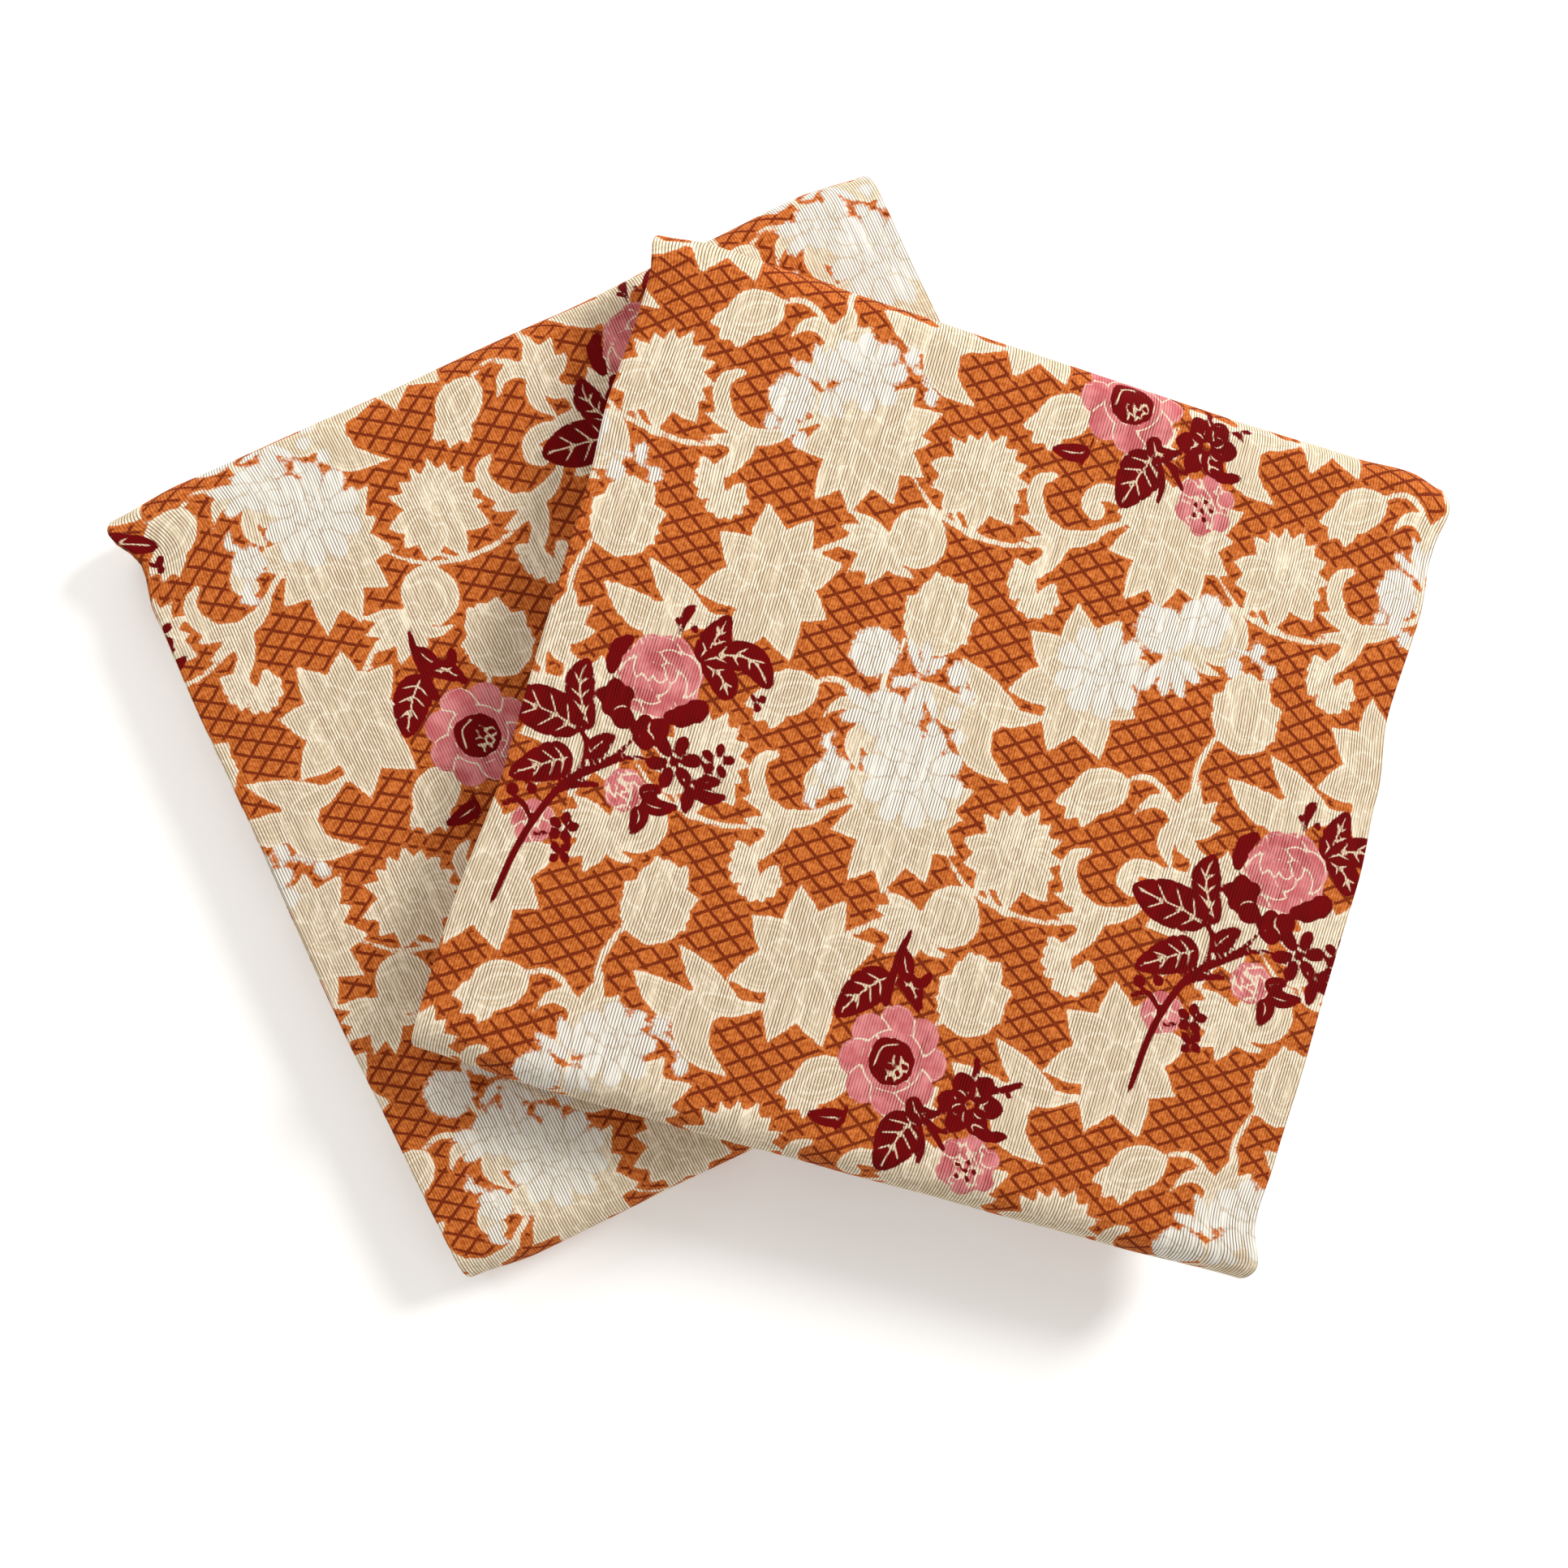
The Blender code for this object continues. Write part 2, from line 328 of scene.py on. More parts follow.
def crimson_sprays():
    """One repeat of the crimson leaves, stems and small flowers."""
    seeds = [(11, -101.5), (14, -103.5), (9, -105), (12.5, -106), (15, -106.5), (10.5, -108.5)]
    return [
        # the spray round the large rose: its sepals, leaves, stems and flowers
        [blade([(-113.5, 6), (-117.5, 0), (-117.5, -9)], 5.6, 0.5, 0.4, teeth=3, bite=0.3)],
        [disc((-113.5, -15.5), 6.6, 5, 0.25), disc((-109.5, -21), 3.8)],
        [disc((-101, -23), 5.6, 5, 0.2), disc((-96.8, -21), 3.6), disc((-100, -26.3), 3)],
        [blade([(-97, -17), (-90, -14.5), (-83, -8.5)], 7.8, 0.7, 0.35, teeth=3, bite=0.25)],
        leaf([(-119, -28), (-124, -20), (-126.5, -13), (-126, -5.5)], 8.6, 5, 0.6, 0.9),
        leaf([(-122.5, -30), (-129, -27), (-139, -25.5), (-149, -24)], 14, 5, 0.55, 0.8),
        leaf([(-122, -38), (-129, -42), (-141, -50)], 11.5, 5, 0.45, 0.8),
        leaf([(-118, -37), (-115, -32), (-111.5, -27)], 4.8, 1),
        [
            stem(
                [(-96, -31), (-105, -33.5), (-113, -39), (-122, -47), (-127, -58), (-130, -72), (-131, -92)],
                2.6,
            ),
        ],
        [stem([(-104, -26), (-108, -33), (-115, -41)], 1.7)],
        [stem([(-110, -27), (-112, -33), (-117, -41)], 1.5)],
        [stem([(-128, -28), (-122, -29), (-118.5, -34), (-119, -44)], 1.7)],
        [stem([(-125, -52), (-119, -47), (-110, -44)], 2.2)],
        leaf([(-90.5, 4), (-88, 11), (-85, 22)], 8.6, 3, 0.5, 0.8),
        leaf([(-90, 4), (-82, 9), (-73, 9.5), (-65, 2.5)], 9, 5, 0.6, 0.7),
        leaf([(-89, 4), (-82, 1.5), (-77, -5)], 8, 3, 0.6, 0.5),
        [stem([(-71, 0), (-69, -2.5), (-66, -2)], 1.6), disc((-66.5, -1.5), 1.5), disc((-67.3, -4.8), 1.5)],
        [stem([(-99.5, 9), (-99, 14), (-98, 18)], 1.7), blade([(-99, 14), (-98.5, 19), (-96, 22)], 3.6)],
        [disc((-101, 15), 1.3), disc((-95, 14), 1.4)],
        [*rays((-89, -30), around(6, 9.6, 80), 4.7, 0.66, 0.8, 0.2), disc((-89, -30), 1.6)],
        [*rays((-75, -25.5), around(5, 6.2, 20), 3.2, 0.66, 0.8, 0.2), stem([(-81, -29), (-77, -27)], 1.3)],
        leaf([(-80.5, -35.5), (-76, -33), (-71.5, -31.5)], 3.0, 1),
        leaf([(-79.5, -37.5), (-74, -38), (-68.5, -36)], 3.0, 1),
        leaf([(-81.5, -37.5), (-81, -41), (-80.5, -45.5)], 3.2, 1),
        [stem([(-85, -34), (-83, -36.5), (-80, -37)], 1.4)],
        leaf([(-97.5, -43), (-94, -41.5), (-90, -39.5)], 3.6, 1),
        leaf([(-96, -45.5), (-90, -46), (-83.5, -44)], 4.2, 1),
        leaf([(-97, -47.5), (-95, -51), (-96, -57)], 5.0, 1),
        [stem([(-127, -64), (-134, -57), (-140, -60)], 2.0), disc((-138, -54), 2.2), disc((-132, -52), 1.9)],
        [*rays((-118, -61), around(5, 5.5, 20), 3.4, 0.6, 0.8, 0.15), stem([(-127, -66), (-122, -64)], 1.6)],
        [*rays((-116, -69), around(4, 4.5, 60), 3, 0.6, 0.9, 0.1)],
        # round the large pink flower
        [disc((9.3, -103), 7.9, 9, 0.06), blade([(3, -107), (4, -98), (12, -96)], 3)],
        [disc(seed, 1.5) for seed in seeds],
        [stem([(4, -58), (1.8, -70), (2.4, -88)], 2.6)],
        leaf([(1, -76), (-6, -83), (-13, -94)], 11.5, 5, 0.45, 0.8),
        leaf([(3, -67), (5, -72), (8, -77)], 4.6, 1),
        leaf([(4, -76), (9, -78), (14, -85)], 5.4, 3),
        [blade([(8, -77), (12, -75.5), (14, -71)], 3.6, 0.6, 0.6)],
        leaf([(22, -118), (18.5, -126), (15, -139)], 14.5, 5, 0.42, 0.75),
        leaf([(19, -112), (22.5, -117), (28, -115)], 5, 1),
        rays((38.5, -109.5), around(6, 11.5, 65), 7.4, 0.6, 0.7, 0.12),
        rays((38.5, -109.5), around(6, 7, 35), 3, 0.6, 1.0, 0.2),
        [stem([(37, -101), (37.5, -97), (36, -94)], 2.4), stem([(44, -104), (49, -101), (54, -98)], 2.4)],
        [stem([(49, -102), (51, -104)], 2.0), stem([(20, -118), (26, -117), (31, -113)], 2.4)],
        [stem([(23, -117), (29, -121), (35, -127)], 2.0), stem([(22, -118), (27, -126), (27, -134)], 2.0)],
        [stem([(26, -118), (30, -120), (35, -121)], 1.6)],
        [blade([(41, -116), (47, -118), (54, -116)], 4.2, 0.6, 0.6, teeth=3, bite=0.3)],
        [disc((43 + dx, -131 + dy), 1.1) for dx, dy in [*around(5, 3.2, 10), (0, 0)]],
        leaf([(0, -124), (-6, -126), (-13, -126.5)], 4.8, 1),
        [stem([(0, -118), (-1, -124), (-2, -130)], 1.6)],
    ]


def distance_inside(points, outline):
    """How deep each point is inside the outline, and below zero outside it."""
    run = np.roll(outline, -1, axis=0) - outline
    gap = points[:, None, :] - outline
    share = ((gap * run).sum(2) / np.maximum((run**2).sum(1), 1e-9)).clip(0, 1)
    off = gap - share[..., None] * run
    nearest = np.sqrt((off**2).sum(2).min(1))
    above = gap[..., 1] >= 0
    crosses = above != np.roll(above, -1, axis=1)
    with np.errstate(divide="ignore", invalid="ignore"):
        side = gap[..., 0] < run[:, 0] * gap[..., 1] / run[:, 1]
    within = (crosses & side).sum(1) % 2 == 1
    return np.where(within, nearest, -nearest)


def draw(points, shapes, repeat):
    """The depth inside all the shapes, and the distance to the nearest line between two of them, which
    has a different sign on its two sides. A later shape covers the lines of those before it."""
    depth = np.full(len(points), -REACH)
    lines = np.full(len(points), -REACH)
    back = np.linalg.inv(repeat)
    for number, shape in enumerate(shapes):
        sign = 1 - 2 * (number % 2)
        middle = (shape.min(0) + shape.max(0)) / 2
        radius = np.hypot(*(shape - middle).T).max() + REACH
        gap = points - middle
        gap -= np.round(gap @ back) @ repeat
        for shift in (np.zeros(2), repeat[0], -repeat[0], repeat[1], -repeat[1]):
            near = np.flatnonzero(np.hypot(*(gap + shift).T) < radius)
            if not len(near):
                continue
            inside = distance_inside(gap[near] + shift + middle, shape)
            depth[near] = np.maximum(depth[near], inside)
            old = lines[near]
            around_it = np.sign(old) * np.minimum(np.abs(old), -inside)
            lines[near] = np.where(inside > 0, sign * inside, around_it)
    return depth, lines


def shapes_in(groups, place=(0, 0)):
    return [shape + place for group in groups for shape in group]


# ---------------------------------------------------------------- bolts, measured from the frame


class Bolt:
    """One bolt's own axes and sizes: X along the winding axis, Y across it, Z up, from its middle."""

    def __init__(self, name, print_shift_mm):
        self.name = name
        self.print_shift_mm = print_shift_mm
        axis = next(joint["axis"] for joint in frame["joints"] if joint["name"] == f"{name}_board_slide")
        turned = math.atan2(axis[1], axis[0])
        c, s = math.cos(turned), math.sin(turned)
        self.axes = np.array([[c, s, 0], [-s, c, 0], [0, 0, 1]])
        low, high = self.own_box(f"{name}_wound_cloth")
        board_low, board_high = self.own_box(f"{name}_board_top_liner")
        under_low, _ = self.own_box(f"{name}_board_bottom_liner")
        self.middle = (low + high) / 2
        self.width, self.length, self.thickness = high - low
        self.half_board = (board_high - board_low)[1] / 2
        self.half_core = (board_high - under_low)[2] / 2
        self.pitch = (self.thickness / 2 - self.half_core) / TURNS
        self.ply = (self.pitch - TURN_GAP) / PLIES

    def own_box(self, node):
        mesh = frame["nodes"][node].data
        points = np.empty(len(mesh.vertices) * 3, np.float32)
        mesh.vertices.foreach_get("co", points)
        points = points.reshape(-1, 3) @ self.axes.T
        return points.min(0), points.max(0)

    def radius(self, turn):
        """From the board's edge to the middle of a turn."""
        return TURN_GAP + PLIES * self.ply / 2 + turn * self.pitch

    def to_frame(self, points):
        return (points + self.middle) @ self.axes


# ---------------------------------------------------------------- the cloth: folded in four, then wound


def steps_along(start, end, pitch, length):
    count = max(1, round(length / pitch))
    return start + np.linspace(0, 1, count + 1)[:-1, None] * (np.array(end) - start)


def winding(bolt, first, last, top_pitch, under_pitch):
    """Rows of cloth from turn `first` to `last`: for each, the point on the board's edge that it goes
    round, the direction out from it, and the radius. A whole number starts over the board, and a half
    starts at the end of the run underneath."""
    y, z = bolt.half_board, bolt.half_core
    quarter = math.pi / 2
    rows = []
    for half_turn in range(round(2 * first), round(2 * last)):
        turn = half_turn // 2
        r = bolt.radius(turn)
        if half_turn % 2 == 0:
            corners = [(y, z, quarter, r), (-y, z, quarter, r), (-y, z, 2 * quarter, r)]
            corners += [(-y, -z, 2 * quarter, r), (-y, -z, 3 * quarter, r), (y, -z, 3 * quarter, r)]
        else:
            mid, end = r + bolt.pitch / 2, r + bolt.pitch
            corners = [(y, -z, -quarter, r), (y, -z, 0.0, mid), (y, z, 0.0, mid), (y, z, quarter, end)]
        for a, b in zip(corners, corners[1:], strict=False):
            length = math.hypot(b[0] - a[0], b[1] - a[1]) + abs(b[2] - a[2]) * r
            underneath = a[:2] == (-y, -z) and b[:2] == (y, -z)
            rows.append(steps_along(a, b, under_pitch if underneath else top_pitch, length))
    rows.append(np.array([corners[-1]]))
    return np.vstack(rows)


def folding(bolt, pitch, hidden):
    """Columns across the cloth, from one selvage to the other: for each, its place along the winding
    axis and how far it is out from the middle of the turn."""
    p = bolt.ply
    left, right = 1.5 * p - bolt.width / 2, bolt.width / 2 - 0.5 * p
    selvage = bolt.width / 2

    def run(start, end, level, count):
        x = np.linspace(start, end, count)
        return np.stack([x, np.full(count, level)], 1)

    def fold(x, level, radius, start, end):
        angle = np.radians(np.linspace(start, end, FOLD_STEPS + 1))[1:-1]
        return np.stack([x + radius * np.cos(angle), level + radius * np.sin(angle)], 1)

    shown = round((right - left) / pitch)
    return np.vstack(
        [
            run(selvage, left, -1.5 * p, hidden),
            fold(left, 0, 1.5 * p, 270, 90),
            run(left, right, 1.5 * p, shown),
            fold(right, p, p / 2, 90, -90),
            run(right, left, p / 2, hidden),
            fold(left, 0, p / 2, 90, 270),
            run(left, selvage, -p / 2, hidden),
        ]
    )


def travelled(points, zero):
    """Distance along a line of points, counted from the point at index `zero`."""
    run = np.hypot(*np.diff(points, axis=0).T)
    along = np.concatenate([[0], np.cumsum(run)])
    return along - along[zero]


def make_cloth(bolt, part, first, last, pitches, material):
    """The cloth of one bolt from turn `first` to turn `last`, as one sheet."""
    name = f"{bolt.name}_{part}"
    top_pitch, under_pitch, across_pitch = pitches
    rows = winding(bolt, first, last, top_pitch, under_pitch)
    columns = folding(bolt, across_pitch, HIDDEN_COLUMNS)
    anchor, angle, radius = rows[:, :2], rows[:, 2], rows[:, 3]
    out = np.stack([np.cos(angle), np.sin(angle)], 1)

    reach = radius[:, None] + columns[:, 1]
    yz = anchor[:, None, :] + reach[..., None] * out[:, None, :]
    x = np.broadcast_to(columns[:, 0], reach.shape)
    points = np.stack([x, yz[..., 0], yz[..., 1]], 2).reshape(-1, 3)
    turn = np.repeat((radius - bolt.radius(0)) / bolt.pitch, len(columns))
    points = shaped(bolt, points, turn)

    # the print is laid out from the middle of the top, along the outermost of the four layers
    outer_face = anchor + (radius + 1.5 * bolt.ply)[:, None] * out
    over = np.flatnonzero((rows[:, 1] > 0) & (np.abs(angle - math.pi / 2) < 1e-6))
    centre_row = over[np.argmin(np.abs(rows[over, 0]))]
    shown = np.flatnonzero(columns[:, 1] > 1.49 * bolt.ply)
    centre_column = shown[np.argmin(np.abs(columns[shown, 0]))]
    v = rows[centre_row, 0] - travelled(outer_face, centre_row)
    u = columns[centre_column, 0] + travelled(columns, centre_column)
    uv = np.stack(np.broadcast_arrays(u[None, :], v[:, None]), 2).reshape(-1, 2)

    cloth = grid_object(name, bolt.to_frame(points), len(rows), len(columns), uv)
    add_print(cloth.data, uv / MM - bolt.print_shift_mm)
    cloth.data.materials.append(material)
    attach(cloth, f"{bolt.name}_cloth")
    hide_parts(f"{bolt.name}_wound_cloth")


def grid_object(name, points, rows, columns, uv):
    mesh = bpy.data.meshes.new(name)
    number = np.arange(rows * columns).reshape(rows, columns)
    quads = np.stack([number[:-1, :-1], number[1:, :-1], number[1:, 1:], number[:-1, 1:]], 2).reshape(-1, 4)
    mesh.vertices.add(len(points))
    mesh.vertices.foreach_set("co", points.astype(np.float32).ravel())
    mesh.loops.add(quads.size)
    mesh.loops.foreach_set("vertex_index", quads.astype(np.int32).ravel())
    mesh.polygons.add(len(quads))
    mesh.polygons.foreach_set("loop_start", np.arange(0, quads.size, 4, dtype=np.int32))
    mesh.update(calc_edges=True)
    layer = mesh.uv_layers.new(name="Cloth")
    layer.data.foreach_set("uv", uv[quads.ravel()].astype(np.float32).ravel())
    mesh.shade_smooth()
    mesh.validate()
    cloth = bpy.data.objects.new(name, mesh)
    bpy.context.scene.collection.objects.link(cloth)
    return cloth


def add_print(mesh, places):
    """Writes how deep each point of the cloth is inside each colour of the print."""
    cream, cream_lines = draw(places, shapes_in(cream_flowers(), STAR), CREAM_REPEAT)
    white, white_lines = draw(places, shapes_in(white_roses()), ROSE_REPEAT)
    pink, pink_lines = draw(places, shapes_in(pink_roses()), ROSE_REPEAT)
    crimson, crimson_lines = draw(places, shapes_in(crimson_sprays()), ROSE_REPEAT)
    rose_lines = np.where(crimson > 0, crimson_lines, np.where(pink > 0, pink_lines, white_lines))
    for name, values in (("Cream", (cream, cream_lines, white)), ("Roses", (crimson, pink, rose_lines))):
        attribute = mesh.attributes.new(name, "FLOAT_VECTOR", "POINT")
        attribute.data.foreach_set("vector", np.stack(values, 1).astype(np.float32).ravel())


# ---------------------------------------------------------------- how the wound cloth really lies


def smooth(low, high, value):
    t = ((value - low) / (high - low)).clip(0, 1)
    return t * t * (3 - 2 * t)


def ripples(x, y, wavelength, seed, count=7):
    """A gentle unevenness about 1 high, the same each time for one seed."""
    draws = np.random.default_rng(seed)
    total = np.zeros_like(x)
    for _ in range(count):
        way, phase = draws.uniform(0, math.tau, 2)
        longer = wavelength * draws.uniform(0.7, 1.6)
        total += np.sin(math.tau * (x * math.cos(way) + y * math.sin(way)) / longer + phase)
    return total / math.sqrt(count)


def along_edge(places, values, at):
    """An edge's offset, in millimetres, smoothed between a few places along it."""
    t = np.interp(at / MM, places, np.arange(len(places)))
    i = np.minimum(t.astype(int), len(places) - 2)
    share = t - i
    share = share * share * (3 - 2 * share)
    values = np.asarray(values, float) * MM
    return values[i] + share * (values[i + 1] - values[i])


# How each bolt lies. Its edges are given by places along them and their offsets there, and the soft
# ears at some corners by their side, their place as a share of half the length, and their size, all
# in millimetres. `puff` is how far the top stands up.
LIES = {
    "upper": {
        "left": ([-140, -100, -50, 0, 50, 80, 110, 140], [-1, -1, 2, 1, 0, -2, -1, -1]),
        "right": ([-140, -120, -100, -60, 0, 30, 60, 95, 115, 138], [2, 1, 2, 3, 4, 2, -2, -1, -3, -4]),
        "front": ([-140, -100, -50, 0, 50, 100, 140], [-1, -2.5, -2, -1, 0, 1, 2.5]),
        "back": ([-144, -125, -60, 60, 110, 130, 143], [-2, 0.5, 0, 0, 1, 2.5, 0]),
        "ears": [(-1, 0.97, 3.0), (1, -0.96, 4.5), (1, 0.93, 3.0)],
        "puff": 0.9,
        "seed": 11,
    },
    "lower": {
        "left": ([-146, -100, -50, 0, 60, 110, 128, 146], [1, 0, -1, -1, -1, 0, 3, 0]),
        "right": ([-146, -80, 0, 80, 120, 146], [0, 1, 0, 1, 0, -0.5]),
        "front": ([-146, -120, -60, 40, 146], [3, 0.5, 1, 0, -1]),
        "back": ([-146, -120, -60, 20, 80, 120, 146], [-2.5, 0, 1, 3, 6, 8, 6]),
        "ears": [(-1, 0.95, 4.5)],
        "puff": -0.5,
        "seed": 23,
    },
}
EAR_WIDE, EAR_LONG = 0.018, 0.009
TURNS_OUT_OF_LINE_MM, LAYERS_OUT_OF_LINE_MM = 0.6, 0.5
UNEVEN_TOP_MM = 0.35
SINK_MM = 1.6  # of the top, along its folds


def shaped(bolt, points, turn):
    """Points of straight, flat turns, moved to where handled cloth lies."""
    x, y, z = points.T.copy()
    lies = LIES[bolt.name]
    seed = lies["seed"]
    half = bolt.width / 2
    half_long = bolt.length / 2
    toward_left, toward_right = smooth(0.2, 1, -x / half), smooth(0.2, 1, x / half)
    toward_front, toward_back = smooth(0.3, 1, -y / half_long), smooth(0.3, 1, y / half_long)
    depth = ((np.abs(z) - bolt.half_core) / (bolt.thickness / 2 - bolt.half_core)).clip(0, 1)
    upper_side = smooth(-0.2, 0.6, z / (bolt.thickness / 2))

    give = smooth(0, 1.6, turn)  # the inner turns stay against the board, and clear of it
    dx = toward_left * along_edge(*lies["left"], y) + toward_right * along_edge(*lies["right"], y)
    dy = give * (toward_front * along_edge(*lies["front"], x) + toward_back * along_edge(*lies["back"], x))

    # turns that don't quite line up at the open edges
    sideways = ripples(x * 0 + turn * 0.05, y, 0.16, seed, 3)
    dx += TURNS_OUT_OF_LINE_MM * MM * np.sin(2.1 * turn + 0.7 * seed) + LAYERS_OUT_OF_LINE_MM * MM * sideways

    # ears: the corners of the outer layers, pulled out a little
    for side, end, size in lies["ears"]:
        near = np.exp(-(((x - side * half) / EAR_WIDE) ** 2 + ((y - end * half_long) / EAR_LONG) ** 2))
        dx += side * near * size * MM

    # the top puffs up between the edges and sinks a little along the folds
    crown = (1 - (x / half) ** 4) * (1 - (y / half_long) ** 4)
    uneven = UNEVEN_TOP_MM * ripples(x, y, 0.09, seed + 1)
    dz = upper_side * depth * (lies["puff"] * crown.clip(0, 1) + uneven) * MM
    dz -= upper_side * depth * SINK_MM * MM * (smooth(0.86, 1, np.abs(x) / half))
    if lies["puff"] < 0:
        dz = np.minimum(dz, 0)  # pressed down by the bolt on it

    return np.stack([x + dx, y + dy, z + dz], 1)


# ---------------------------------------------------------------- materials

# Kinds of node, each with its settings.
PLUS = ("ShaderNodeMath", {"operation": "ADD"})
MINUS = ("ShaderNodeMath", {"operation": "SUBTRACT"})
TIMES = ("ShaderNodeMath", {"operation": "MULTIPLY"})
OVER = ("ShaderNodeMath", {"operation": "DIVIDE"})
SIZE_OF = ("ShaderNodeMath", {"operation": "ABSOLUTE"})
WHOLE_PART = ("ShaderNodeMath", {"operation": "FLOOR"})
FRACTION = ("ShaderNodeMath", {"operation": "FRACT"})
SINE = ("ShaderNodeMath", {"operation": "SINE"})
LARGER = ("ShaderNodeMath", {"operation": "MAXIMUM"})
SMALLER = ("ShaderNodeMath", {"operation": "MINIMUM"})
RAMP = ("ShaderNodeMapRange", {"interpolation_type": "SMOOTHSTEP"})  # value, where it starts, where it ends
NOISE = ("ShaderNodeTexNoise", {})  # place, scale, detail, roughness
STRETCH = ("ShaderNodeMapping", {})
SCALE = ("ShaderNodeVectorMath", {"operation": "SCALE"})
SPLIT = ("ShaderNodeSeparateXYZ", {})
JOIN = ("ShaderNodeCombineXYZ", {})
GREY = ("ShaderNodeCombineColor", {})
PAINT = ("ShaderNodeMix", {"data_type": "RGBA"})  # share, colour under, colour over
STAIN = ("ShaderNodeMix", {"data_type": "RGBA", "blend_type": "MULTIPLY"})
BUMP = ("ShaderNodeBump", {})
SHADER = ("ShaderNodeBsdfPrincipled", {})
OUTPUT = ("ShaderNodeOutputMaterial", {})

# Reactive dyes on cotton, as sRGB
RUST, PALE_RUST, TRELLIS_BROWN = "#B2571D", "#D87B3B", "#7E2E0E"
BEIGE, CREAM = "#E0CFB2", "#F4E6CD"
SHADED_WHITE, WHITE = "#DED4C3", "#F0EDE3"
PINK, PALE_PINK, PETAL_LINE = "#C66468", "#E08C8E", "#EAD8BF"
CRIMSON, VEIN = "#700003", "#E2CCAE"
# not a dye: the painted shade in the gaps between the threads
PAINTED_GAP_SHADE_COLOUR = "#71543B"

DIAMOND_WIDE_MM, DIAMOND_HIGH_MM = 9.7, 6.6  # the trellis
TRELLIS_LINE = (0.075, 0.125)  # half its line, as a share of a diamond
TRELLIS_STOPS_MM = (-1.3, -0.7)  # short of the flowers
CONTOUR_MM = 2.0  # between the fine lines inside a cream flower
RIM_MM, PETAL_EDGE_MM, ROSE_LINE_MM = (0.8, 1.4), (0.3, 0.7), (0.1, 0.42)  # where each fades

# How soft each colour's edge is, how far its outline wanders, and its share of the breaks at threads
CREAM_EDGE_MM, WHITE_EDGE_MM, ROSE_EDGE_MM = (-0.25, 0.25), (-0.6, 0.5), (-0.2, 0.2)
CREAM_WANDERS_MM, WHITE_WANDERS_MM = 1.6, 5.0
CREAM_BREAKS, WHITE_BREAKS, ROSE_BREAKS, LINE_BREAKS = 0.5, 0.8, 0.35, 0.25
BREAKS_MM = 1.6

# The weave
THREADS_DRIFT = 0.9  # sideways, in threads
BODY = (0.2, 0.85)  # from the dark between two warp threads to a thread's body
THIN = (0.28, 0.55)  # how thin a thread is where a gap opens
WEFT_SHOWS, LINT_SHOWS = 0.16, 0.12
# painted shade in the gaps between the warp threads
GAP_SHADE, MORE_GAP_SHADE_IN_PALE = 0.62, 0.36  # how dark the gaps look, and how much darker through pale ink


def linear(colour):
    """An sRGB hex colour as linear values."""
    parts = [int(colour[i : i + 2], 16) / 255 for i in (1, 3, 5)]
    return (*(p / 12.92 if p <= 0.04045 else ((p + 0.055) / 1.055) ** 2.4 for p in parts), 1.0)


def new_material(name):
    material = bpy.data.materials.new(name)
    material.use_nodes = True
    tree = material.node_tree
    tree.nodes.clear()
    return material, tree


def add(tree, kind, *inputs, **named):
    """Adds a node and gives its first output. Its inputs, in order or by name, are values or outputs."""
    node_type, settings = kind
    node = tree.nodes.new(node_type)
    for key, value in settings.items():
        setattr(node, key, value)
    in_use = [socket for socket in node.inputs if socket.enabled]
    given = list(zip(in_use, inputs, strict=False))
    given += [(node.inputs[name.replace("_", " ")], value) for name, value in named.items()]
    for socket, value in given:
        if isinstance(value, bpy.types.NodeSocket):
            tree.links.new(value, socket)
        else:
            socket.default_value = value
    return next((socket for socket in node.outputs if socket.enabled), None)


